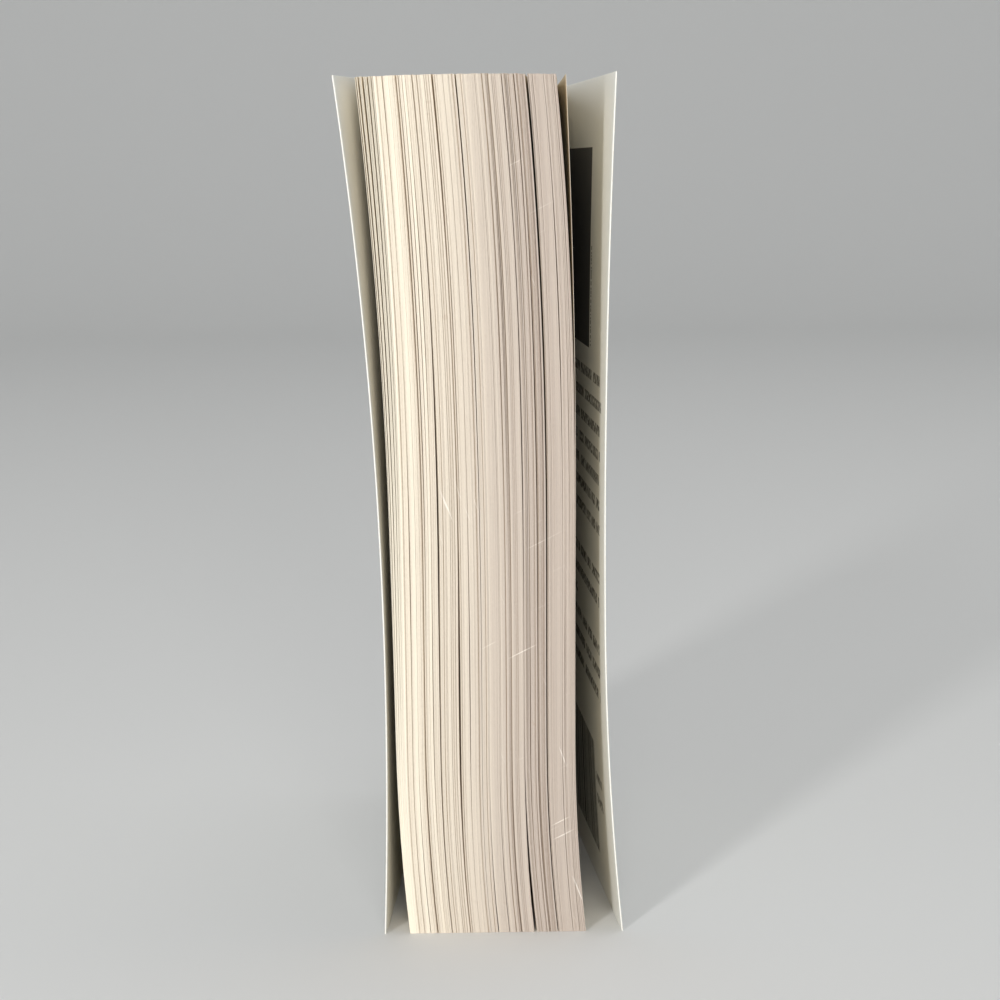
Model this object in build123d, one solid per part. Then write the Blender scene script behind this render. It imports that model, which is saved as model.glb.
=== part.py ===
"""A thick perfect-bound paperback, standing on its tail with both covers ajar.

Millimetres. The origin is the middle of the page block's tail face, +Z runs up to the head,
-Y is the fore-edge, +Y the spine, -X the front cover and +X the back cover.
"""

from build123d import *
import os

# Trimmed pages and binding
page_height = 175.0
page_width = 108.0
block_thickness = 35.6
card = 0.3
spine_glue = 0.6
side_glue = 0.3
side_glue_width = 5.0
hinge_strip = 6.0
hinge_gap = 0.1

# Fore-edge of the page block: how far the leaves spread past half the block, and sway sideways
fan_at_tail = 0.4
fan_at_head = 2.9
head_sway = -3.0
head_sway_from = 85.0
tail_sway = 2.0
tail_sway_below = 40.0

# Fore-edge of each cover: swing is the straight opening, curl the part that grows to the edge
front_swing = 1.4
front_curl = 0.6
front_head_flare = 7.8
front_tail_flare = 1.1
front_waist = 50.0
back_swing = 6.4
back_head_flare = 2.9
back_tail_flare = 3.1
back_waist = 65.0

# Heights of the cross-sections, as shares of the page height
section_shares = (0, 0.12, 0.25, 0.4, 0.6, 0.8, 1)

# Places that follow from the sizes above
block_side = block_thickness / 2
card_inside = block_side + side_glue
card_outside = card_inside + card
fore_edge = -page_width / 2
spine_face = page_width / 2
glue_back = spine_face + spine_glue
spine_outside = glue_back + card
crease = spine_face - hinge_strip
FRONT, BACK = -1, 1


def rise(z, start, end):
    """Grow from 0 at the start height to 1 at the end height, as the square of the way."""
    return max(0.0, (z - start) / (end - start)) ** 2


def fan(z):
    """Spread of the leaves at the fore-edge, each side, at height z."""
    return fan_at_tail + (fan_at_head - fan_at_tail) * rise(z, 0, page_height)


def sway(z):
    """Sideways set of all the leaves at the fore-edge, towards the back cover."""
    at_head = head_sway * rise(z, head_sway_from, page_height)
    at_tail = tail_sway * rise(z, tail_sway_below, 0)
    return at_head + at_tail


def flare(z, at_head, at_tail, waist):
    """Outward flare of a cover above and below the height where it is closest to the pages."""
    return at_head * rise(z, waist, page_height) + at_tail * rise(z, waist, 0)


def block_edge(side, z):
    """Distance of a block side at the fore-edge from the middle plane."""
    return block_side + fan(z) + side * sway(z)


def cover_set(side, z):
    """Swing and curl of a cover at height z: the front one curls, the back one stays straight."""
    if side == FRONT:
        return front_swing, front_curl + flare(z, front_head_flare, front_tail_flare, front_waist)
    return back_swing + flare(z, back_head_flare, back_tail_flare, back_waist), 0.0


def stack(section):
    """Solid through one closed outline per height."""
    return loft([section(share * page_height) for share in section_shares])


def block_section(z):
    """Outline of the pages: straight where they are clamped in the binding, then fanned."""

    def clamped(side):
        return side * block_side, crease

    def middle(side):
        return side * block_side, (crease + fore_edge) / 2

    def edge(side):
        return side * block_edge(side, z), fore_edge

    front_root = (FRONT * block_side, spine_face)
    back_root = (BACK * block_side, spine_face)
    with BuildSketch(Plane.XY.offset(z)) as outline:
        with BuildLine():
            Line(back_root, front_root)
            Line(front_root, clamped(FRONT))
            Bezier(clamped(FRONT), middle(FRONT), edge(FRONT))
            Line(edge(FRONT), edge(BACK))
            Bezier(edge(BACK), middle(BACK), clamped(BACK))
            Line(clamped(BACK), back_root)
        make_face()
    return outline.sketch.face()


def cover_section(side, z):
    """Outline of a cover panel: its offset grows as swing times the way plus curl times its cube."""
    swing, curl = cover_set(side, z)
    hinge_end = crease - hinge_gap / 2

    def curve(start):
        offsets = (0, swing / 3, swing * 2 / 3, swing + curl)
        ways = (0, 1 / 3, 2 / 3, 1)
        return [
            (side * (start + offset), hinge_end + (fore_edge - hinge_end) * way)
            for offset, way in zip(offsets, ways)
        ]

    inner, outer = curve(card_inside), curve(card_outside)
    with BuildSketch(Plane.XY.offset(z)) as outline:
        with BuildLine():
            Bezier(*outer)
            Line(outer[-1], inner[-1])
            Bezier(*reversed(inner))
            Line(inner[0], outer[0])
        make_face()
    return outline.sketch.face()


def upright(points):
    """Prism of the full page height over a closed outline."""
    with BuildPart() as prism:
        with BuildSketch():
            with BuildLine():
                Polyline(*points, close=True)
            make_face()
        extrude(amount=page_height)
    return prism.part


def channel(inside, back_inside, outside, back_outside, front_end):
    """Prism with a U outline, open towards the fore-edge."""
    return upright(
        [
            (-outside, front_end),
            (-outside, back_outside),
            (outside, back_outside),
            (outside, front_end),
            (inside, front_end),
            (inside, back_inside),
            (-inside, back_inside),
            (-inside, front_end),
        ]
    )


def make_page_block():
    """All the leaves, as one solid."""
    return stack(block_section)


def make_binding_glue():
    """Hot-melt over the spine of the block, with a thin band turned onto the first and last leaf."""
    band_end = spine_face - side_glue_width
    return channel(block_side, spine_face, card_inside, glue_back, band_end)


def make_cover_spine():
    """Spine panel of the cover with the two strips that are glued down as far as the creases."""
    strip_end = crease + hinge_gap / 2
    return channel(card_inside, glue_back, card_outside, spine_outside, strip_end)


def make_cover(side):
    """Free panel of the cover, from its crease to the trimmed fore-edge."""
    return stack(lambda z: cover_section(side, z))


nodes = {
    "page_block": make_page_block(),
    "binding_glue": make_binding_glue(),
    "cover_spine": make_cover_spine(),
    "front_cover": make_cover(FRONT),
    "back_cover": make_cover(BACK),
}

os.makedirs("parts", exist_ok=True)
for name, shape in nodes.items():
    shape.label = name
    export_step(shape, f"parts/{name}.step")
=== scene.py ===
"""Thick paperback on its tail, both covers ajar: fanned leaves, card cover and glue.

Metres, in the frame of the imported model: the origin is the middle of the leaves' tail face, +Z runs
up to the head, -Y is the fore-edge, +Y the spine, -X the front cover and +X the back cover.
"""

import math

import bpy
import numpy as np
from mathutils import Matrix, Vector


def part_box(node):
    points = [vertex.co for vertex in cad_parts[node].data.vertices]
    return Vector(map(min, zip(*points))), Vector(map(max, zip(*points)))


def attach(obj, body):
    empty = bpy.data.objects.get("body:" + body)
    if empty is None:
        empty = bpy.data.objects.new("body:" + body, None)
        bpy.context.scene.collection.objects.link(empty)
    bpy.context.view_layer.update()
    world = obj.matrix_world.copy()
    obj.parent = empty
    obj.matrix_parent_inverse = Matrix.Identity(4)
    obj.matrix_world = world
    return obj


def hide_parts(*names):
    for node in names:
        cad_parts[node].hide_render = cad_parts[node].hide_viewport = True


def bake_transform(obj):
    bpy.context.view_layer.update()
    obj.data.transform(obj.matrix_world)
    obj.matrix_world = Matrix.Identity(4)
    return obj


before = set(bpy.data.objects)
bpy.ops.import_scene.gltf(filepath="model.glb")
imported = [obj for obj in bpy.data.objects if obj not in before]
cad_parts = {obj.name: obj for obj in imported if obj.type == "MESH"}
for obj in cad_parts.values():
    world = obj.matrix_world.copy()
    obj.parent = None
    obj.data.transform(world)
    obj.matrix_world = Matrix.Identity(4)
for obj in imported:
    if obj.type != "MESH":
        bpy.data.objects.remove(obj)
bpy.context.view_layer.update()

bl_info = {
    "name": "Paperback Book",
    "version": (1, 0, 0),
    "blender": (4, 5, 0),
    "location": "3D View > Sidebar > Paperback",
    "description": "Leaves, glue and card cover of a thick paperback, built round its frame",
    "category": "Add Mesh",
}

MM = 0.001
FRONT, BACK = -1, 1

# Places read from the frame
leaves_low, leaves_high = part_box("page_block")
wrap_low, wrap_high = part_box("cover_spine")
_, glue_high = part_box("binding_glue")
page_height = leaves_high.z
fore_edge = leaves_low.y
spine_face = leaves_high.y
spine_outside = wrap_high.y
card_outside = wrap_high.x
card_inside = glue_high.x
crease = wrap_low.y

# Fore-edge of the leaves, as in the frame: how far they spread, and sway sideways
block_thickness = 35.6 * MM
fan_at_tail = 0.4 * MM
fan_at_head = 2.9 * MM
head_sway = -3.0 * MM
head_sway_from = 85.0 * MM
tail_sway = 2.0 * MM
tail_sway_below = 40.0 * MM

# Fore-edge of each cover, as in the frame: straight opening, and curl that grows to the edge
front_swing = 1.4 * MM
front_curl = 0.6 * MM
front_head_flare = 7.8 * MM
front_tail_flare = 1.1 * MM
front_waist = 50.0 * MM
back_swing = 6.4 * MM
back_head_flare = 2.9 * MM
back_tail_flare = 3.1 * MM
back_waist = 65.0 * MM

# Extra space at the head between the first leaves, and the share of it in each of their gaps
loose_first_spread = 2.2 * MM
LOOSE_FIRST = np.array(
    [0.9, 0.2, 1.4, 0.3, 0.2, 0.3, 1.6, 0.2, 0.4, 0.2, 0.3, 1.2, 0.2, 0.2, 0.3, 0.8, 0.2, 0.3]
)

# Space before the loose last leaf, at the tail and added by the head
last_gap = 0.03 * MM
last_gap_growth = 1.9 * MM

# Three places where the block falls open: place as a share of the leaves, width, added width
deep_gap_place = 0.842
deep_gap = 0.20 * MM
deep_gap_growth = 0.26 * MM
head_gap_place = 0.474
head_gap = 0.06 * MM
head_gap_growth = 0.24 * MM
tail_gap_place = 0.516
tail_gap = 0.02 * MM
tail_gap_growth = 0.16 * MM
tail_gap_below = 45 * MM

# One gap in about eight is wider than the rest, where a few leaves part together
wider_share = 0.13
wider_log_mean = 2.8
wider_log_spread = 0.6

# Steps left by trimming: at the fore-edge over runs of leaves and leaf by leaf, and at the head
trim_step = 0.10 * MM
trim_jitter = 0.035 * MM
head_arch = 0.30 * MM
head_step = 0.10 * MM
head_jitter = 0.04 * MM
foot_jitter = 0.02 * MM

# Plain print inside the back cover: line pitch, height of the first line above the tail, height of a
# bar as a share of the pitch, and left, right, foot and head of each field from crease and tail
line_pitch = 5.1 * MM
first_line = 0.8 * MM
bar_share = 0.36
TEXT_FIELDS = np.array([
    (10, 98, 80.2, 115.7),
    (10, 98, 64.6, 74.8),
    (10, 54, 59.6, 64.5),
    (10, 98, 44.2, 59.4),
]) * MM
PANEL_FIELD = np.array([22, 71, 118.5, 160.6]) * MM
CREDIT_FIELD = np.array([72.6, 73.8, 119, 140]) * MM
STRIPE_FIELD = np.array([35, 74, 8, 33]) * MM
SHORT_FIELD = np.array([76, 86, 19.5, 27]) * MM

# Tone of the leaves at the trimmed edge, from 0 for dark to 1 for bright: the middle, how far it
# drifts over a few leaves, over many and leaf by leaf, its fall beside a wider gap, and loose leaves
tone_middle = 0.60
tone_over_few = 0.17
tone_over_many = 0.08
tone_by_leaf = 0.10
# Painted shade: the leaves either side of a wider gap are darkened for the shade in the gap, with some
# browning of their edges
shade_before_gap = 0.32
shade_after_gap = 0.16
# Painted light: the loose first leaves are raised near the bright end for the light between their fanned
# sides
lit_tone_loose_first = 0.80
tone_loose_last = 0.92

# Camera: place, downward tilt, and roll that leans the picture to the left
camera_place = (3.62 * MM, -498.2 * MM, 157.1 * MM)
camera_tilt = math.radians(8.52)
camera_roll = math.radians(0.785)

# Lamps: how far the tall key lamp stands from the book and to its left, and each lamp's size
key_distance = 1.5
key_turn = math.radians(27)
key_height = 0.42
key_size = (0.14, 1.1)
front_place = (0.10, -1.5, 0.40)
front_size = (0.6, 0.6)
top_place = (0.35, 0.25, 1.5)
top_size = (1.0, 1.0)
top_share = 0.35


def linear(red, green, blue):
    """Colour given in screen values of 0 to 255, as the linear values that shaders take."""
    shares = np.array([red, green, blue]) / 255
    low = shares / 12.92
    high = ((shares + 0.055) / 1.055) ** 2.4
    return tuple(float(value) for value in np.where(shares <= 0.04045, low, high))


class LeafSettings(bpy.types.PropertyGroup):
    """Sizes and colours of the leaves."""

    count: bpy.props.IntProperty(
        name="Leaves", description="Number of leaves in the block", default=450, min=50
    )
    thickness: bpy.props.FloatProperty(
        name="Leaf thickness", description="Thickness of one leaf",
        default=0.074 * MM, unit="LENGTH", precision=6,
    )
    seed: bpy.props.IntProperty(
        name="Seed", description="Start of the draw that spaces and tones the leaves", default=11
    )
    page_colour: bpy.props.FloatVectorProperty(
        name="Page", description="Colour of a page's face", subtype="COLOR",
        default=linear(240, 230, 208),
    )
    bright_colour: bpy.props.FloatVectorProperty(
        name="Trim, bright", description="Colour of the brightest leaves at the trimmed edge",
        subtype="COLOR", default=linear(247, 237, 216),
    )
    middle_colour: bpy.props.FloatVectorProperty(
        name="Trim, middle", description="Colour of most leaves at the trimmed edge",
        subtype="COLOR", default=linear(225, 214, 196),
    )
    dark_colour: bpy.props.FloatVectorProperty(
        name="Trim, dark", description="Colour of the darkest leaves at the trimmed edge",
        subtype="COLOR", default=linear(168, 147, 122),
    )


class CoverSettings(bpy.types.PropertyGroup):
    """Sizes and colours of the card cover and the glue."""

    bend_width: bpy.props.FloatProperty(
        name="Bend width", description="Width of card that bends at each crease",
        default=3.0 * MM, unit="LENGTH", precision=5,
    )
    inside_colour: bpy.props.FloatVectorProperty(
        name="Inside", description="Colour of the uncoated inside of the card", subtype="COLOR",
        default=linear(238, 238, 232),
    )
    outside_colour: bpy.props.FloatVectorProperty(
        name="Outside", description="Colour of the laminated outside of the card", subtype="COLOR",
        default=linear(236, 237, 234),
    )
    ink_colour: bpy.props.FloatVectorProperty(
        name="Ink", description="Colour of the plain printed bars and panel", subtype="COLOR",
        default=linear(34, 33, 34),
    )
    glue_colour: bpy.props.FloatVectorProperty(
        name="Glue", description="Colour of the hot-melt glue", subtype="COLOR",
        default=linear(226, 214, 178),
    )


class StageSettings(bpy.types.PropertyGroup):
    """Camera, lamps and floor."""

    lens: bpy.props.FloatProperty(
        name="Lens", description="Focal length of the camera in millimetres", default=80.4
    )
    key_power: bpy.props.FloatProperty(
        name="Key", description="Power of the tall lamp at the front left",
        default=12.5, unit="POWER",
    )
    front_power: bpy.props.FloatProperty(
        name="Front", description="Power of the soft lamp behind the camera",
        default=9.0, unit="POWER",
    )
    fill_strength: bpy.props.FloatProperty(
        name="Fill", description="Strength of the light from all round", default=0.42
    )
    floor_colour: bpy.props.FloatVectorProperty(
        name="Floor", description="Colour of the floor and the backdrop", subtype="COLOR",
        default=linear(226, 226, 224),
    )


def rise(height, start, end):
    """Grow from 0 at the start height to 1 at the end height, as the square of the way."""
    return np.maximum(0.0, (height - start) / (end - start)) ** 2


def block_edge(side, height):
    """Side of the leaves at the fore-edge: half the block, plus the fan, plus the sway."""
    fan = fan_at_tail + (fan_at_head - fan_at_tail) * rise(height, 0, page_height)
    at_head = head_sway * rise(height, head_sway_from, page_height)
    at_tail = tail_sway * rise(height, tail_sway_below, 0)
    return side * (block_thickness / 2 + fan) + at_head + at_tail


def cover_offset(side, way, height):
    """How far a cover stands out at a share of the way from crease to fore-edge.

    The front one is swing times the way plus curl times its cube; the back one is straight.
    """
    if side == FRONT:
        flare = front_head_flare * rise(height, front_waist, page_height)
        flare = flare + front_tail_flare * rise(height, front_waist, 0)
        return front_swing * way + (front_curl + flare) * way**3
    flare = back_head_flare * rise(height, back_waist, page_height)
    flare = flare + back_tail_flare * rise(height, back_waist, 0)
    return (back_swing + flare) * way


def slab_piece(name, skins, materials, tone=None, flat_map=None):
    """One object of closed thin slabs, each between two skins.

    skins has the shape (slab, skin, across, up, xyz). Each skin is a grid of quads, and four strips
    of quads close the slab round its rim. Materials are those of the first skin, the second skin and
    the rim. tone is one value per vertex, and flat_map the (u, v) of each vertex in metres.
    """
    slabs, _, across, up, _ = skins.shape
    index = np.arange(slabs * 2 * across * up).reshape(slabs, 2, across, up)
    near, far = index[:, 0], index[:, 1]

    def quads(*corners):
        return np.stack(corners, axis=-1).reshape(-1, 4)

    first = quads(near[:, :-1, :-1], near[:, 1:, :-1], near[:, 1:, 1:], near[:, :-1, 1:])
    second = quads(far[:, :-1, :-1], far[:, :-1, 1:], far[:, 1:, 1:], far[:, 1:, :-1])
    rim = np.concatenate([
        quads(near[:, -1, :-1], far[:, -1, :-1], far[:, -1, 1:], near[:, -1, 1:]),
        quads(near[:, 0, :-1], near[:, 0, 1:], far[:, 0, 1:], far[:, 0, :-1]),
        quads(near[:, :-1, -1], near[:, 1:, -1], far[:, 1:, -1], far[:, :-1, -1]),
        quads(near[:, :-1, 0], far[:, :-1, 0], far[:, 1:, 0], near[:, 1:, 0]),
    ])
    faces = np.concatenate([first, second, rim]).astype(np.int32)
    shares = [len(first), len(second), len(rim)]

    mesh = bpy.data.meshes.new(name)
    mesh.vertices.add(index.size)
    mesh.vertices.foreach_set("co", skins.reshape(-1).astype(np.float32))
    mesh.loops.add(faces.size)
    mesh.loops.foreach_set("vertex_index", faces.reshape(-1))
    mesh.polygons.add(len(faces))
    mesh.polygons.foreach_set("loop_start", np.arange(0, faces.size, 4, dtype=np.int32))
    mesh.polygons.foreach_set("material_index", np.repeat([0, 1, 2], shares).astype(np.int32))
    mesh.update(calc_edges=True)
    mesh.polygons.foreach_set("use_smooth", np.ones(len(faces), dtype=bool))
    mesh.set_sharp_from_angle(angle=math.radians(50))
    if tone is not None:
        layer = mesh.attributes.new("tone", "FLOAT", "POINT")
        layer.data.foreach_set("value", tone.reshape(-1).astype(np.float32))
    if flat_map is not None:
        layer = mesh.uv_layers.new(name="flat")
        spots = flat_map.reshape(-1, 2)[faces.reshape(-1)]
        layer.data.foreach_set("uv", spots.reshape(-1).astype(np.float32))
    for material in materials:
        mesh.materials.append(material)
    piece = bpy.data.objects.new(name, mesh)
    bpy.context.scene.collection.objects.link(piece)
    return piece


class Recipe:
    """Short calls that place and join the nodes of one material or node group."""

    def __init__(self, tree):
        self.tree = tree

    def feed(self, socket, value):
        """Join a socket to another, or set it to a plain value."""
        if isinstance(value, bpy.types.NodeSocket):
            self.tree.links.new(value, socket)
        elif isinstance(value, tuple) and len(value) == 3 and socket.type == "RGBA":
            socket.default_value = (*value, 1.0)
        else:
            socket.default_value = value

    def place(self, kind, inputs=None, **settings):
        """Add a node with its settings, then feed its inputs by name or number."""
        node = self.tree.nodes.new(kind)
        for name, value in settings.items():
            setattr(node, name, value)
        for key, value in (inputs or {}).items():
            self.feed(node.inputs[key], value)
        return node

    def math(self, operation, *values):
        """One step of arithmetic."""
        node = self.place("ShaderNodeMath", dict(enumerate(values)), operation=operation)
        return node.outputs[0]

    def scaled(self, vector, scale):
        """A vector times another, part by part."""
        node = self.place("ShaderNodeVectorMath", {0: vector, 1: scale}, operation="MULTIPLY")
        return node.outputs[0]

    def noise(self, vector, scale=1.0, detail=2.0):
        """Smooth noise of about 0 to 1."""
        inputs = {"Vector": vector, "Scale": scale, "Detail": detail}
        return self.place("ShaderNodeTexNoise", inputs).outputs["Fac"]

    def step(self, value, low, high):
        """Climb smoothly from 0 at low to 1 at high."""
        inputs = {"Value": value, "From Min": low, "From Max": high}
        node = self.place("ShaderNodeMapRange", inputs, interpolation_type="SMOOTHSTEP")
        return node.outputs["Result"]

    def band(self, value, low, high, soft=0.0001):
        """1 between low and high, falling to 0 over a soft margin outside them."""
        above = self.step(value, low - soft, low)
        below = self.math("SUBTRACT", 1.0, self.step(value, high, high + soft))
        return self.math("MULTIPLY", above, below)

    def mix(self, share, first, second):
        """Blend two colours."""
        node = self.place("ShaderNodeMix", data_type="RGBA")
        self.feed(node.inputs[0], share)
        self.feed(node.inputs[6], first)
        self.feed(node.inputs[7], second)
        return node.outputs[2]

    def split(self, vector):
        """The x, y and z of a vector."""
        return self.place("ShaderNodeSeparateXYZ", {0: vector}).outputs

    def join(self, x, y, z=0.0):
        """A vector from its parts."""
        return self.place("ShaderNodeCombineXYZ", {0: x, 1: y, 2: z}).outputs[0]

    def group(self, tree, **inputs):
        """Place a node group with its own values."""
        node = self.place("ShaderNodeGroup", node_tree=tree)
        for name, value in inputs.items():
            self.feed(node.inputs[name], value)
        return node.outputs


def new_material(name):
    """A material with a Principled BSDF, and the recipe that adds to it."""
    material = bpy.data.materials.new(name)
    material.use_nodes = True
    shader = material.node_tree.nodes["Principled BSDF"]
    return material, Recipe(material.node_tree), shader


def new_group(name, inputs, outputs):
    """An empty node group with its sockets, and the recipe that fills it."""
    tree = bpy.data.node_groups.new(name, "ShaderNodeTree")
    for label, kind in inputs:
        tree.interface.new_socket(name=label, in_out="INPUT", socket_type=kind)
    for label, kind in outputs:
        tree.interface.new_socket(name=label, in_out="OUTPUT", socket_type=kind)
    recipe = Recipe(tree)
    entry = recipe.place("NodeGroupInput").outputs
    leave = recipe.place("NodeGroupOutput").inputs
    return tree, recipe, entry, leave


def paper_fibre_group():
    """Fibres and mottling of paper or card: a shade to colour by, and a height for its bump."""
    known = bpy.data.node_groups.get("paper_fibre")
    if known:
        return known
    tree, recipe, entry, leave = new_group(
        "paper_fibre",
        [("Vector", "NodeSocketVector"), ("Fibre scale", "NodeSocketFloat")],
        [("Shade", "NodeSocketFloat"), ("Height", "NodeSocketFloat")],
    )
    fibre = recipe.noise(entry["Vector"], entry["Fibre scale"], 4.0)
    cloud = recipe.noise(entry["Vector"], 60.0, 3.0)
    both = recipe.math("ADD", recipe.math("MULTIPLY", fibre, 0.6), recipe.math("MULTIPLY", cloud, 0.4))
    recipe.feed(leave["Shade"], both)
    recipe.feed(leave["Height"], fibre)
    return tree


def foxing_group():
    """Brown spots of age: sparse cells of noise, as a mask."""
    known = bpy.data.node_groups.get("foxing")
    if known:
        return known
    tree, recipe, entry, leave = new_group(
        "foxing",
        [("Vector", "NodeSocketVector"), ("Amount", "NodeSocketFloat")],
        [("Mask", "NodeSocketFloat")],
    )
    spots = recipe.step(recipe.noise(entry["Vector"], 420.0, 2.0), 0.70, 0.78)
    areas = recipe.step(recipe.noise(entry["Vector"], 35.0, 2.0), 0.48, 0.66)
    mask = recipe.math("MULTIPLY", recipe.math("MULTIPLY", spots, areas), entry["Amount"])
    recipe.feed(leave["Mask"], mask)
    return tree


def rub_group():
    """Scuffs and rubbed patches: thin broken scratches along two directions, as a mask."""
    known = bpy.data.node_groups.get("rub")
    if known:
        return known
    tree, recipe, entry, leave = new_group(
        "rub",
        [("Vector", "NodeSocketVector"), ("Amount", "NodeSocketFloat")],
        [("Mask", "NodeSocketFloat")],
    )
    x, y, z = recipe.split(entry["Vector"])
    along = recipe.join(
        recipe.math("MULTIPLY", recipe.math("ADD", x, y), 60.0),
        recipe.math("MULTIPLY", recipe.math("SUBTRACT", z, recipe.math("MULTIPLY", x, 0.5)), 1900.0),
    )
    down = recipe.join(
        recipe.math("MULTIPLY", recipe.math("ADD", x, recipe.math("MULTIPLY", z, 0.35)), 1500.0),
        recipe.math("MULTIPLY", z, 70.0),
        recipe.math("MULTIPLY", y, 900.0),
    )
    scratches = recipe.math(
        "MAXIMUM",
        recipe.step(recipe.noise(along, 1.0, 1.0), 0.71, 0.76),
        recipe.step(recipe.noise(down, 1.0, 1.0), 0.73, 0.78),
    )
    patches = recipe.step(recipe.noise(entry["Vector"], 48.0, 2.0), 0.52, 0.66)
    mask = recipe.math("MULTIPLY", recipe.math("MULTIPLY", scratches, patches), entry["Amount"])
    recipe.feed(leave["Mask"], mask)
    return tree


def bump_of(recipe, height, depth):
    """A bump's normal, from a height of 0 to 1 and its depth in metres."""
    inputs = {"Strength": 1.0, "Distance": depth, "Height": height}
    return recipe.place("ShaderNodeBump", inputs).outputs["Normal"]


def page_material(settings):
    """Face of a pulp page: cream, browner towards its trimmed edges, with fibres and foxing."""
    material, recipe, shader = new_material("pulp_page")
    spot = recipe.place("ShaderNodeTexCoord").outputs["Object"]
    fibre = recipe.group(paper_fibre_group(), **{"Vector": spot, "Fibre scale": 2600.0})
    fox = recipe.group(foxing_group(), Vector=spot, Amount=0.5)
    _, y, z = recipe.split(spot)
    tan = recipe.math(
        "MAXIMUM",
        recipe.step(y, fore_edge + 22 * MM, fore_edge),
        recipe.math(
            "MAXIMUM",
            recipe.step(z, page_height - 16 * MM, page_height),
            recipe.step(z, 14 * MM, 0.0),
        ),
    )
    tan = recipe.math("MULTIPLY", tan, recipe.math("ADD", fibre["Shade"], 0.15))
    page = tuple(settings.page_colour)
    colour = recipe.mix(tan, page, linear(224, 206, 174))
    mottled = recipe.math("MULTIPLY", fibre["Shade"], 0.22)
    colour = recipe.mix(mottled, colour, linear(214, 200, 174))
    colour = recipe.mix(fox["Mask"], colour, linear(150, 108, 66))
    recipe.feed(shader.inputs["Base Color"], colour)
    roughness = recipe.math("ADD", 0.80, recipe.math("MULTIPLY", fibre["Shade"], 0.18))
    recipe.feed(shader.inputs["Roughness"], roughness)
    shader.inputs["Specular IOR Level"].default_value = 0.25
    recipe.feed(shader.inputs["Normal"], bump_of(recipe, fibre["Height"], 0.03 * MM))
    return material


def trim_material(settings):
    """Trimmed edge of the leaves: each leaf's tone, fine streaks, light scuffs and some foxing.

    The tone holds painted shade beside the wider gaps and painted light on the loose first leaves,
    and painted shade makes the back-cover side darker and pinker.
    """
    material, recipe, shader = new_material("pulp_trim")
    spot = recipe.place("ShaderNodeTexCoord").outputs["Object"]
    tone = recipe.place("ShaderNodeAttribute", attribute_name="tone").outputs["Fac"]
    x, _, _ = recipe.split(spot)
    streak = recipe.noise(recipe.scaled(spot, (5200.0, 300.0, 26.0)), 1.0, 3.0)
    grain = recipe.noise(recipe.scaled(spot, (9000.0, 2500.0, 1400.0)), 1.0, 2.0)
    level = recipe.math("ADD", tone, recipe.math("MULTIPLY", recipe.math("SUBTRACT", streak, 0.5), 0.42))
    level = recipe.math("ADD", level, recipe.math("MULTIPLY", recipe.math("SUBTRACT", grain, 0.5), 0.30))
    ramp = recipe.place("ShaderNodeValToRGB", {"Fac": level})
    stops = ramp.color_ramp.elements
    stops[0].position, stops[0].color = 0.0, (*settings.dark_colour, 1.0)
    stops[1].position, stops[1].color = 0.92, (*settings.bright_colour, 1.0)
    middle = stops.new(0.45)
    middle.color = (*settings.middle_colour, 1.0)
    # Painted shade: towards the back-cover side the trimmed edge is multiplied darker and pinker, for
    # the side turned away from the key lamp
    painted_shade_far_side = recipe.step(x, -20 * MM, 12 * MM)
    shaded_pinker = recipe.mix(1.0, ramp.outputs["Color"], linear(208, 203, 207))
    shaded_pinker.node.blend_type = "MULTIPLY"
    colour = recipe.mix(painted_shade_far_side, ramp.outputs["Color"], shaded_pinker)
    fox = recipe.group(foxing_group(), Vector=spot, Amount=0.12)
    colour = recipe.mix(fox["Mask"], colour, linear(150, 112, 74))
    rub = recipe.group(rub_group(), Vector=spot, Amount=0.55)
    colour = recipe.mix(rub["Mask"], colour, linear(252, 246, 236))
    recipe.feed(shader.inputs["Base Color"], colour)
    roughness = recipe.math("SUBTRACT", 0.92, recipe.math("MULTIPLY", rub["Mask"], 0.25))
    recipe.feed(shader.inputs["Roughness"], roughness)
    shader.inputs["Specular IOR Level"].default_value = 0.2
    recipe.feed(shader.inputs["Normal"], bump_of(recipe, streak, 0.04 * MM))
    return material


def flat_place(recipe):
    """Distance from the crease and height on the card laid flat, both in metres."""
    spot = recipe.place("ShaderNodeUVMap", uv_map="flat").outputs["UV"]
    across, up, _ = recipe.split(spot)
    return spot, across, up


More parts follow.
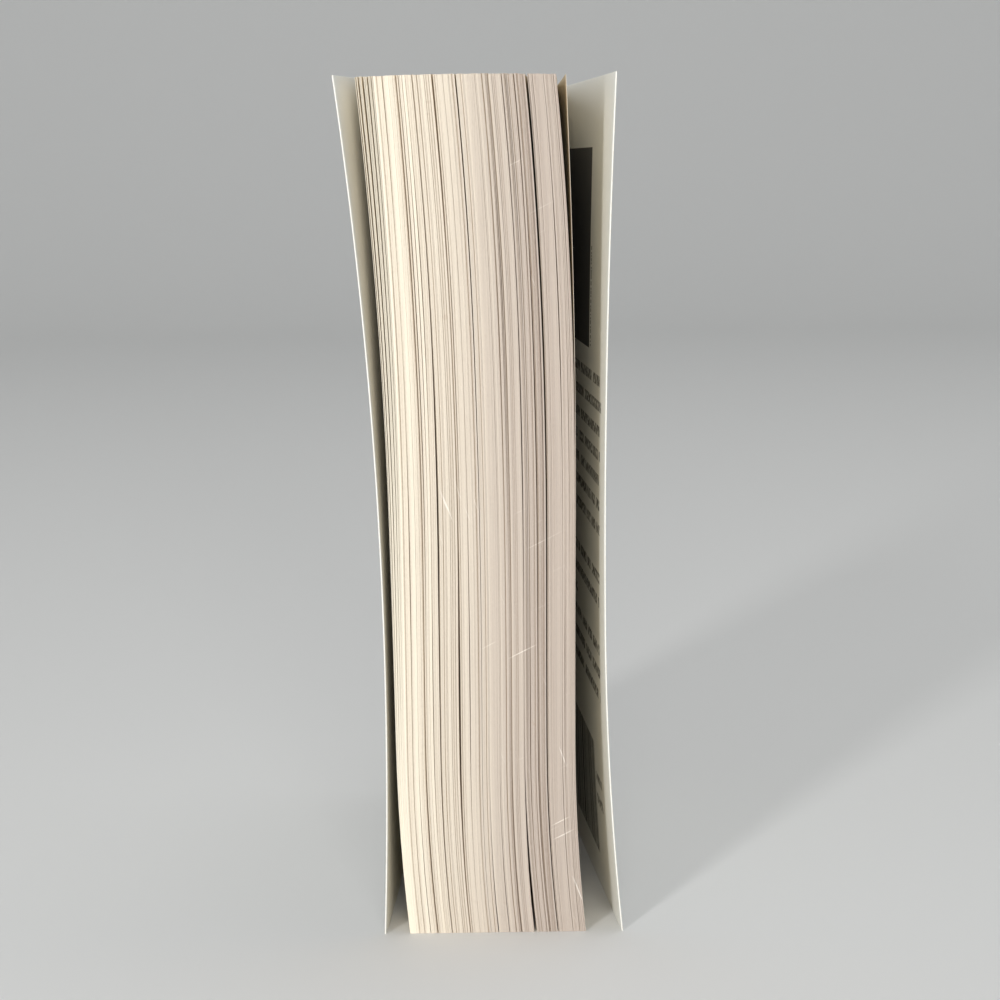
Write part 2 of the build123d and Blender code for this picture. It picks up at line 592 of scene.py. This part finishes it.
def printed_bars(recipe, across, up):
    """Mask of the ink inside the back cover: plain bars for lines, a panel and a striped block.

    Bars repeat at the line pitch. Noise cuts them into words and frays them, so nothing can be read.
    """
    line = recipe.math("DIVIDE", recipe.math("SUBTRACT", up, first_line - line_pitch / 2), line_pitch)
    row = recipe.math("FLOOR", line)
    within = recipe.math("SUBTRACT", line, row)
    bar = recipe.band(within, 0.5 - bar_share / 2, 0.5 + bar_share / 2, 0.06)
    words = recipe.join(recipe.math("MULTIPLY", across, 230.0), recipe.math("MULTIPLY", row, 7.3))
    letters = recipe.join(recipe.math("MULTIPLY", across, 1500.0), recipe.math("MULTIPLY", up, 700.0))
    word = recipe.step(recipe.noise(words, 1.0, 0.0), 0.33, 0.37)
    letter = recipe.step(recipe.noise(letters, 1.0, 1.0), 0.38, 0.52)
    bars = recipe.math("MULTIPLY", bar, recipe.math("MULTIPLY", word, letter))
    ragged = recipe.noise(recipe.join(0.0, recipe.math("MULTIPLY", row, 3.7)), 1.0, 0.0)
    margin = recipe.math("ADD", across, recipe.math("MULTIPLY", ragged, 12 * MM))
    dots = recipe.noise(recipe.join(0.0, recipe.math("MULTIPLY", up, 1600.0)), 1.0, 0.0)
    stripes = recipe.noise(recipe.join(recipe.math("MULTIPLY", across, 1300.0), 0.0), 1.0, 1.0)

    def field(sideways, borders):
        left, right, foot, head = (float(border) for border in borders)
        return recipe.math("MULTIPLY", recipe.band(sideways, left, right), recipe.band(up, foot, head))

    def printed(area, marks, strength):
        return recipe.math("MULTIPLY", recipe.math("MULTIPLY", area, marks), strength)

    text = 0.0
    for borders in TEXT_FIELDS:
        text = recipe.math("MAXIMUM", text, field(margin, borders))
    ink = field(across, PANEL_FIELD)
    for mark in (
        printed(text, bars, 0.9),
        printed(field(across, CREDIT_FIELD), recipe.step(dots, 0.42, 0.5), 0.7),
        printed(field(across, STRIPE_FIELD), recipe.step(stripes, 0.47, 0.5), 1.0),
        printed(field(across, SHORT_FIELD), bars, 0.8),
    ):
        ink = recipe.math("MAXIMUM", ink, mark)
    return ink


def inside_material(name, settings, printed, tinted=0.0):
    """Uncoated inside of the card: off-white and soft, with plain print where it has any, and painted
    shade that darkens it towards the crease.

    tinted is how far the part beside the pages is tinted yellow-green.
    """
    material, recipe, shader = new_material(name)
    spot, across, up = flat_place(recipe)
    fibre = recipe.group(paper_fibre_group(), **{"Vector": spot, "Fibre scale": 1900.0})
    rub = recipe.group(rub_group(), Vector=spot, Amount=0.25)
    shade = recipe.math("MULTIPLY", fibre["Shade"], 0.16)
    colour = recipe.mix(shade, tuple(settings.inside_colour), linear(206, 203, 190))
    # Painted shade: within 20 mm of the crease the card is darkened towards olive, for the shade deep
    # between cover and pages
    painted_shade_near_fold = recipe.math("MULTIPLY", recipe.step(across, 20 * MM, 0.0), 0.35)
    colour = recipe.mix(painted_shade_near_fold, colour, linear(222, 216, 190))
    inward = recipe.step(across, 100 * MM, 70 * MM)
    # Yellow-green tint on the part near the crease and below the middle of the height
    tinted_area = recipe.math("MULTIPLY", inward, recipe.step(up, 135 * MM, 95 * MM))
    colour = recipe.mix(recipe.math("MULTIPLY", tinted_area, tinted), colour, linear(214, 212, 142))
    colour = recipe.mix(rub["Mask"], colour, linear(198, 196, 188))
    if printed:
        ink = printed_bars(recipe, across, up)
        worn_ink = recipe.math("MULTIPLY", ink, recipe.math("SUBTRACT", 1.02, shade))
        colour = recipe.mix(worn_ink, colour, tuple(settings.ink_colour))
    recipe.feed(shader.inputs["Base Color"], colour)
    roughness = recipe.math("ADD", 0.62, recipe.math("MULTIPLY", fibre["Shade"], 0.2))
    recipe.feed(shader.inputs["Roughness"], roughness)
    shader.inputs["Specular IOR Level"].default_value = 0.35
    recipe.feed(shader.inputs["Normal"], bump_of(recipe, fibre["Height"], 0.015 * MM))
    return material


def outside_material(settings):
    """Laminated outside of the card: glossy white, rubbed at its edges and creased by reading.

    The flat map runs from each crease, so a score line and finger creases follow the fold.
    """
    material, recipe, shader = new_material("card_laminate")
    spot, across, up = flat_place(recipe)
    fibre = recipe.group(paper_fibre_group(), **{"Vector": spot, "Fibre scale": 700.0})
    rub = recipe.group(rub_group(), Vector=spot, Amount=0.6)
    wobble = recipe.noise(recipe.scaled(spot, (90.0, 14.0, 0.0)), 1.0, 2.0)
    bent = recipe.math("ADD", across, recipe.math("MULTIPLY", wobble, 2.2 * MM))
    score = recipe.band(bent, 0.9 * MM, 1.3 * MM, 0.5 * MM)
    reading = recipe.band(bent, 7.8 * MM, 7.9 * MM, 0.35 * MM)
    creases = recipe.math("MAXIMUM", score, recipe.math("MULTIPLY", reading, 0.7))
    ends = recipe.math(
        "MAXIMUM",
        recipe.step(up, page_height - 1.6 * MM, page_height),
        recipe.step(up, 1.4 * MM, 0.0),
    )
    cover_depth = crease - fore_edge
    edges = recipe.math("MAXIMUM", ends, recipe.step(across, cover_depth - 1.6 * MM, cover_depth))
    torn = recipe.step(recipe.noise(spot, 900.0, 3.0), 0.42, 0.62)
    wear = recipe.math("MULTIPLY", edges, torn)
    marks = recipe.math("MAXIMUM", rub["Mask"], recipe.math("MULTIPLY", creases, 0.55))
    shade = recipe.math("MULTIPLY", fibre["Shade"], 0.10)
    colour = recipe.mix(shade, tuple(settings.outside_colour), linear(214, 214, 208))
    colour = recipe.mix(marks, colour, linear(188, 186, 180))
    colour = recipe.mix(wear, colour, linear(222, 214, 198))
    recipe.feed(shader.inputs["Base Color"], colour)
    dull = recipe.math("ADD", recipe.math("MULTIPLY", wear, 0.45), recipe.math("MULTIPLY", marks, 0.25))
    handled = recipe.math("MULTIPLY", recipe.noise(spot, 45.0, 3.0), 0.16)
    roughness = recipe.math("ADD", 0.16, recipe.math("ADD", handled, dull))
    recipe.feed(shader.inputs["Roughness"], roughness)
    dent = recipe.math("SUBTRACT", recipe.math("MULTIPLY", fibre["Height"], 0.15), creases)
    recipe.feed(shader.inputs["Normal"], bump_of(recipe, dent, 0.10 * MM))
    return material


def card_edge_material():
    """Cut edge of the card: layered fibres between two faces."""
    material, recipe, shader = new_material("card_cut")
    spot = recipe.place("ShaderNodeTexCoord").outputs["Object"]
    fibre = recipe.group(paper_fibre_group(), **{"Vector": spot, "Fibre scale": 3200.0})
    colour = recipe.mix(fibre["Shade"], linear(248, 247, 240), linear(216, 210, 194))
    recipe.feed(shader.inputs["Base Color"], colour)
    roughness = recipe.math("ADD", 0.72, recipe.math("MULTIPLY", fibre["Shade"], 0.2))
    recipe.feed(shader.inputs["Roughness"], roughness)
    recipe.feed(shader.inputs["Normal"], bump_of(recipe, fibre["Height"], 0.02 * MM))
    return material


def glue_material(settings):
    """Hot-melt glue: waxy pale amber with soft flow marks along the spine."""
    material, recipe, shader = new_material("hot_melt_glue")
    spot = recipe.place("ShaderNodeTexCoord").outputs["Object"]
    flow = recipe.noise(recipe.scaled(spot, (700.0, 700.0, 120.0)), 1.0, 3.0)
    colour = recipe.mix(flow, tuple(settings.glue_colour), linear(188, 168, 122))
    recipe.feed(shader.inputs["Base Color"], colour)
    recipe.feed(shader.inputs["Roughness"], recipe.math("ADD", 0.3, recipe.math("MULTIPLY", flow, 0.3)))
    recipe.feed(shader.inputs["Normal"], bump_of(recipe, flow, 0.08 * MM))
    return material


def leaf_gaps(settings, draw, heights):
    """Clear space between neighbouring leaves at the fore-edge, as (gap, height).

    A few gaps have a width of their own: the loose first leaves, the loose last leaf and three places
    where the block falls open. The rest share what is left by a heavy-tailed draw, in which one gap
    in eight is much wider, and each share drifts with height as exp of a short cosine series.
    Returns the gaps and which of them are the wider ones.
    """
    count = settings.count
    head_share = rise(heights, 0, page_height)
    near_tail = rise(heights, tail_gap_below, 0)
    loose_spread = loose_first_spread * head_share**0.65
    own = {place: loose_spread * part for place, part in enumerate(LOOSE_FIRST / LOOSE_FIRST.sum())}
    own |= {
        count - 2: last_gap + last_gap_growth * head_share**2.6,
        int(count * deep_gap_place): deep_gap + deep_gap_growth * np.sqrt(head_share),
        int(count * head_gap_place): head_gap + head_gap_growth * head_share,
        int(count * tail_gap_place): tail_gap + tail_gap_growth * near_tail,
    }
    shares = draw.lognormal(0.0, 0.5, count - 1)
    wider = draw.random(count - 1) < wider_share
    shares[wider] *= draw.lognormal(wider_log_mean, wider_log_spread, wider.sum())
    waves = np.cos(np.pi * np.outer(np.arange(1, 5), heights / page_height))
    drift = draw.normal(0.0, 0.38, (count - 1, 4)) @ waves
    gaps = shares[:, None] * np.exp(drift)
    for place, width in own.items():
        gaps[place] = 0.0
    span = block_edge(BACK, heights) - block_edge(FRONT, heights)
    left_over = span - count * settings.thickness - sum(own.values())
    if left_over.min() <= 0:
        raise RuntimeError("the leaves are too thick for the block's fore-edge")
    gaps *= left_over / gaps.sum(axis=0)
    for place, width in own.items():
        gaps[place] = width
    return gaps, wider


def smooth_draw(draw, count, reach):
    """Noise of one value per leaf that changes slowly over about reach leaves, from -1 to 1."""
    knots = draw.uniform(-1.0, 1.0, count // reach + 3)
    return np.interp(np.arange(count) / reach, np.arange(len(knots)), knots)


def leaf_skins(settings):
    """Both faces of every leaf, as (leaf, face, across, up, xyz), and each leaf's tone.

    A leaf runs straight back from the spine to the crease line, then bends out to the fore-edge as
    the square of the way: x = root + (edge - root) * way**2. Bending draws its edge back by two
    thirds of the square of the sideways throw over its length, and trimming leaves small steps.
    """
    draw = np.random.default_rng(settings.seed)
    count = settings.count
    heights = page_height * np.linspace(0, 1, 27)
    ways = np.array([0.0, 0.22, 0.44, 0.64, 0.83, 1.0])
    gaps, wider = leaf_gaps(settings, draw, heights)
    order = np.arange(count)
    before = np.concatenate([np.zeros((1, len(heights))), np.cumsum(gaps, axis=0)])
    edge = block_edge(FRONT, heights) + before + settings.thickness * (order[:, None] + 0.5)
    root = block_thickness * ((order + 0.5) / count - 0.5)
    throw = edge - root[:, None]
    back_by = throw**2 * 2 / 3 / (crease - fore_edge)
    steps = trim_step * np.abs(smooth_draw(draw, count, 14)) + trim_jitter * draw.uniform(0, 1, count)
    edge_depth = fore_edge + back_by + steps[:, None]
    top_drop = head_arch * (2 * order / count - 1) ** 2
    top_drop += head_step * np.abs(smooth_draw(draw, count, 9)) + head_jitter * draw.uniform(0, 1, count)
    foot = foot_jitter * draw.uniform(0, 1, count)

    grid = (count, len(ways), len(heights))
    middle = root[:, None, None] + throw[:, None, :] * ways[None, :, None] ** 2
    depth = crease + (edge_depth[:, None, :] - crease) * ways[None, :, None]
    share = heights / page_height
    climb = foot[:, None] + (page_height - top_drop - foot)[:, None] * share
    upward = np.broadcast_to(climb[:, None, :], grid)
    middle = np.concatenate([np.broadcast_to(root[:, None, None], (count, 1, grid[2])), middle], axis=1)
    depth = np.concatenate([np.full((count, 1, grid[2]), spine_face), depth], axis=1)
    upward = np.concatenate([upward[:, :1], upward], axis=1)
    half = settings.thickness / 2
    faces = [np.stack([middle + side * half, depth, upward], axis=-1) for side in (FRONT, BACK)]
    skins = np.stack(faces, axis=1)

    few, many = smooth_draw(draw, count, 5), smooth_draw(draw, count, 40)
    tone = tone_middle + tone_over_few * few + tone_over_many * many
    tone += draw.normal(0.0, tone_by_leaf, count)
    # Painted shade: the leaves either side of a wider gap are darkened for the shade in the gap, with
    # some browning
    tone[:-1][wider] -= shade_before_gap
    tone[1:][wider] -= shade_after_gap
    # Painted light: the loose first leaves get a bright tone for the light between their fanned sides
    tone[: len(LOOSE_FIRST)] = lit_tone_loose_first
    tone[-1] = tone_loose_last
    return skins, np.clip(tone, 0.02, 1.0)


class PAPERBACK_OT_leaves(bpy.types.Operator):
    """Make the leaves, sheet by sheet, in four runs"""

    bl_idname = "paperback.leaves"
    bl_label = "Leaves"

    def execute(self, context):
        settings = context.scene.paperback_leaves
        skins, tone = leaf_skins(settings)
        page, trim = page_material(settings), trim_material(settings)
        runs = 4
        for number, members in enumerate(np.array_split(np.arange(settings.count), runs), 1):
            some = skins[members]
            tones = np.broadcast_to(tone[members][:, None, None, None], some.shape[:-1])
            piece = slab_piece(f"leaves_{number}", some, (page, page, trim), tone=tones)
            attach(piece, "block")
            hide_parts("page_block")
        return {"FINISHED"}


def wrap_path():
    """Middle line of the wrapped card seen from above, with its outward normals and lengths.

    Up the front strip, a quarter circle, along the spine, a quarter circle and down the back strip.
    """
    card = card_outside - card_inside
    corner = 0.45 * MM
    side, back = card_outside - card / 2, spine_outside - card / 2
    strip = np.linspace(crease, back - corner, 10)[:-1]
    turn = np.linspace(0, math.pi / 2, 9)
    panel = np.linspace(-side + corner, side - corner, 26)[1:-1]
    x = np.concatenate([
        np.full(len(strip), -side),
        -side + corner - corner * np.cos(turn),
        panel,
        side - corner + corner * np.sin(turn),
        np.full(len(strip), side),
    ])
    y = np.concatenate([
        strip,
        back - corner + corner * np.sin(turn),
        np.full(len(panel), back),
        back - corner + corner * np.cos(turn),
        strip[::-1],
    ])
    path = np.stack([x, y], axis=-1)
    runs = np.gradient(path, axis=0)
    runs /= np.linalg.norm(runs, axis=1, keepdims=True)
    runs[0], runs[-1] = (0, 1), (0, -1)
    normals = np.stack([-runs[:, 1], runs[:, 0]], axis=-1)
    lengths = np.concatenate([[0], np.cumsum(np.linalg.norm(np.diff(path, axis=0), axis=1))])
    return path, normals, lengths


def rim_softness(distance):
    """Share of the card's half thickness near a cut edge: it eases down over the last 0.1 mm."""
    share = np.clip(distance / (0.10 * MM), 0, 1)
    return 0.5 + 0.5 * np.sqrt(1 - (1 - share) ** 2)


def card_heights():
    """Stations up a card piece, closer together at its two cut ends."""
    close = np.array([0, 0.02, 0.05, 0.10]) * MM
    middle = np.linspace(1.2 * MM, page_height - 1.2 * MM, 44)
    return np.concatenate([close, middle, page_height - close[::-1]])


def wrap_skins():
    """Inner and outer skin of the wrapped card: its middle line moved half the card each way."""
    path, normals, _ = wrap_path()
    heights = card_heights()
    ends = np.minimum(heights, page_height - heights)
    half = (card_outside - card_inside) / 2 * rim_softness(ends)
    skins = []
    for side in (-1, 1):
        level = path[:, None, :] + side * normals[:, None, :] * half[None, :, None]
        up = np.broadcast_to(heights[None, :, None], (*level.shape[:2], 1))
        skins.append(np.concatenate([level, up], axis=-1))
    return np.stack(skins)[None]


def wrap_map():
    """Flat place of each vertex of the wrap: distance from the nearer crease, and height."""
    _, _, lengths = wrap_path()
    across = np.minimum(lengths, lengths[-1] - lengths)
    heights = card_heights()
    spots = np.stack(np.meshgrid(across, heights, indexing="ij"), axis=-1)
    return np.stack([spots, spots])[None]


class PAPERBACK_OT_binding(bpy.types.Operator):
    """Finish the glue and make the spine panel with its glued strips"""

    bl_idname = "paperback.binding"
    bl_label = "Glue and spine"

    def execute(self, context):
        settings = context.scene.paperback_cover
        glue = glue_material(settings)
        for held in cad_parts["binding_glue"].material_slots:
            held.material = glue
        piece = slab_piece(
            "cover_wrap",
            wrap_skins(),
            (inside_material("card_glued", settings, False), outside_material(settings),
             card_edge_material()),
            flat_map=wrap_map(),
        )
        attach(piece, "block")
        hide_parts("cover_spine")
        return {"FINISHED"}


def cover_skins(side, bend_width):
    """Skins of one cover panel and their flat map, from the crease to the fore-edge.

    Its middle surface stands off the glued strip by cover_offset, and its skins lie half the card
    each side along x. Stations are close together where the card bends and at its cut edges.
    """
    length = crease - fore_edge
    close = np.array([0.10, 0.05, 0.02, 0.0]) * MM
    across = np.concatenate([
        np.linspace(0, bend_width, 13),
        np.linspace(bend_width, length - 1.2 * MM, 36)[1:],
        length - close,
    ])
    heights = card_heights()
    u, v = np.meshgrid(across, heights, indexing="ij")
    distance = np.minimum(np.minimum(v, page_height - v), length - u)
    half = (card_outside - card_inside) / 2 * rim_softness(distance)
    middle = (card_inside + card_outside) / 2 + cover_offset(side, u / length, v)
    skins = [
        np.stack([side * middle + way * half, crease - u, v], axis=-1) for way in (FRONT, BACK)
    ]
    spots = np.stack([u, v], axis=-1)
    return np.stack(skins)[None], np.stack([spots, spots])[None]


class PAPERBACK_OT_covers(bpy.types.Operator):
    """Make the front and back cover panels, which bend at their creases"""

    bl_idname = "paperback.covers"
    bl_label = "Covers"

    def execute(self, context):
        settings = context.scene.paperback_cover
        outside = bpy.data.materials["card_laminate"]
        cut = bpy.data.materials["card_cut"]
        plain = inside_material("card_inside", settings, False, tinted=0.2)
        printed = inside_material("card_inside_printed", settings, True)
        for side, node, faces in (
            (FRONT, "front_cover", (outside, plain, cut)),
            (BACK, "back_cover", (printed, outside, cut)),
        ):
            skins, spots = cover_skins(side, settings.bend_width)
            piece = slab_piece(f"{node}_sheet", skins, faces, flat_map=spots)
            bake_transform(piece)
            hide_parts(node)
        return {"FINISHED"}


def stage_material(settings):
    """Pale matt paper of the floor and the backdrop, faintly clouded."""
    material, recipe, shader = new_material("studio_paper")
    spot = recipe.place("ShaderNodeTexCoord").outputs["Object"]
    cloud = recipe.math("MULTIPLY", recipe.noise(spot, 3.0, 2.0), 0.05)
    colour = recipe.mix(cloud, tuple(settings.floor_colour), linear(214, 214, 212))
    recipe.feed(shader.inputs["Base Color"], colour)
    shader.inputs["Roughness"].default_value = 0.7
    shader.inputs["Specular IOR Level"].default_value = 0.3
    return material


def make_floor(settings):
    """Floor that curves up into a backdrop: a flat run, a quarter circle and a wall, carried along x."""
    bend, depth_behind, height = 0.8, 1.6, 3.2
    front, half_width = -12.0, 12.0
    turn = np.linspace(0, math.pi / 2, 25)
    y = np.concatenate([np.linspace(front, depth_behind, 12)[:-1], depth_behind + bend * np.sin(turn),
                        np.full(6, depth_behind + bend)])
    z = np.concatenate([np.zeros(11), bend - bend * np.cos(turn), np.linspace(bend, height, 7)[1:]])
    x = np.linspace(-half_width, half_width, 9)
    points = np.stack([
        np.broadcast_to(x[:, None], (len(x), len(y))),
        np.broadcast_to(y, (len(x), len(y))),
        np.broadcast_to(z, (len(x), len(y))),
    ], axis=-1).reshape(-1, 3)
    index = np.arange(len(points)).reshape(len(x), len(y))
    corners = (index[:-1, :-1], index[1:, :-1], index[1:, 1:], index[:-1, 1:])
    faces = np.stack(corners, axis=-1).reshape(-1, 4)
    mesh = bpy.data.meshes.new("studio_floor")
    mesh.from_pydata(points.tolist(), [], faces.tolist())
    mesh.polygons.foreach_set("use_smooth", np.ones(len(faces), dtype=bool))
    mesh.materials.append(stage_material(settings))
    floor = bpy.data.objects.new("studio_floor", mesh)
    bpy.context.scene.collection.objects.link(floor)


def make_lamp(name, spot, aim, size, power):
    """Rectangular lamp at a spot, turned to face its aim."""
    data = bpy.data.lights.new(name, "AREA")
    data.shape = "RECTANGLE"
    data.size, data.size_y = size
    data.energy = power
    lamp = bpy.data.objects.new(name, data)
    lamp.location = spot
    lamp.rotation_euler = (Vector(aim) - Vector(spot)).to_track_quat("-Z", "Y").to_euler()
    bpy.context.scene.collection.objects.link(lamp)


def make_camera(settings):
    """Camera in front of the fore-edge, a little above its middle, tilted down and rolled."""
    right = Vector((1, 0, 0))
    down = Vector((0, -math.sin(camera_tilt), -math.cos(camera_tilt)))
    ahead = Vector((0, math.cos(camera_tilt), -math.sin(camera_tilt)))
    across = math.cos(camera_roll) * right + math.sin(camera_roll) * down
    upward = math.sin(camera_roll) * right - math.cos(camera_roll) * down
    data = bpy.data.cameras.new("camera")
    data.sensor_width = 36.0
    data.lens = settings.lens
    data.clip_start = 0.01
    camera = bpy.data.objects.new("camera", data)
    turn = Matrix((across, upward, -ahead)).transposed().to_4x4()
    camera.matrix_world = Matrix.Translation(camera_place) @ turn
    bpy.context.scene.collection.objects.link(camera)
    bpy.context.scene.camera = camera


def make_world(settings):
    """Even fill from all round, which shows as nearly white to the camera and in reflections."""
    world = bpy.data.worlds.new("studio")
    world.use_nodes = True
    bpy.context.scene.world = world
    recipe = Recipe(world.node_tree)
    path = recipe.place("ShaderNodeLightPath").outputs
    seen = recipe.math("MAXIMUM", path["Is Camera Ray"], path["Is Glossy Ray"])
    strength = recipe.math("ADD", settings.fill_strength, recipe.math("MULTIPLY", seen, 0.5))
    background = world.node_tree.nodes["Background"]
    recipe.feed(background.inputs["Color"], (0.96, 0.98, 1.0))
    recipe.feed(background.inputs["Strength"], strength)


class PAPERBACK_OT_stage(bpy.types.Operator):
    """Set out the floor, lamps and camera"""

    bl_idname = "paperback.stage"
    bl_label = "Stage"

    def execute(self, context):
        settings = context.scene.paperback_stage
        make_floor(settings)
        middle = (0.0, -0.02, page_height / 2)
        left, ahead = key_distance * math.sin(key_turn), key_distance * math.cos(key_turn)
        make_lamp("key", (-left, -ahead, key_height), middle, key_size, settings.key_power)
        make_lamp("front", front_place, middle, front_size, settings.front_power)
        make_lamp("top", top_place, middle, top_size, settings.key_power * top_share)
        make_world(settings)
        make_camera(settings)
        context.scene.view_settings.view_transform = "Standard"
        return {"FINISHED"}


class PAPERBACK_PT_panel(bpy.types.Panel):
    """Sidebar panel with the steps that build the paperback and their settings"""

    bl_label = "Paperback"
    bl_idname = "PAPERBACK_PT_panel"
    bl_space_type = "VIEW_3D"
    bl_region_type = "UI"
    bl_category = "Paperback"

    def draw(self, context):
        for name, steps in (
            ("paperback_leaves", (PAPERBACK_OT_leaves,)),
            ("paperback_cover", (PAPERBACK_OT_binding, PAPERBACK_OT_covers)),
            ("paperback_stage", (PAPERBACK_OT_stage,)),
        ):
            box = self.layout.box()
            settings = getattr(context.scene, name)
            for key in settings.__annotations__:
                box.prop(settings, key)
            for step in steps:
                box.operator(step.bl_idname)


CLASSES = (
    LeafSettings,
    CoverSettings,
    StageSettings,
    PAPERBACK_OT_leaves,
    PAPERBACK_OT_binding,
    PAPERBACK_OT_covers,
    PAPERBACK_OT_stage,
    PAPERBACK_PT_panel,
)


def register():
    """Register the classes and hang their settings on the scene."""
    for entry in CLASSES:
        bpy.utils.register_class(entry)
    bpy.types.Scene.paperback_leaves = bpy.props.PointerProperty(type=LeafSettings)
    bpy.types.Scene.paperback_cover = bpy.props.PointerProperty(type=CoverSettings)
    bpy.types.Scene.paperback_stage = bpy.props.PointerProperty(type=StageSettings)


def unregister():
    """Take the settings off the scene and unregister the classes."""
    del bpy.types.Scene.paperback_leaves
    del bpy.types.Scene.paperback_cover
    del bpy.types.Scene.paperback_stage
    for entry in reversed(CLASSES):
        bpy.utils.unregister_class(entry)


def main():
    """Build the whole book."""
    register()
    bpy.ops.paperback.leaves()
    bpy.ops.paperback.binding()
    bpy.ops.paperback.covers()
    bpy.ops.paperback.stage()


if __name__ == "__main__":
    main()
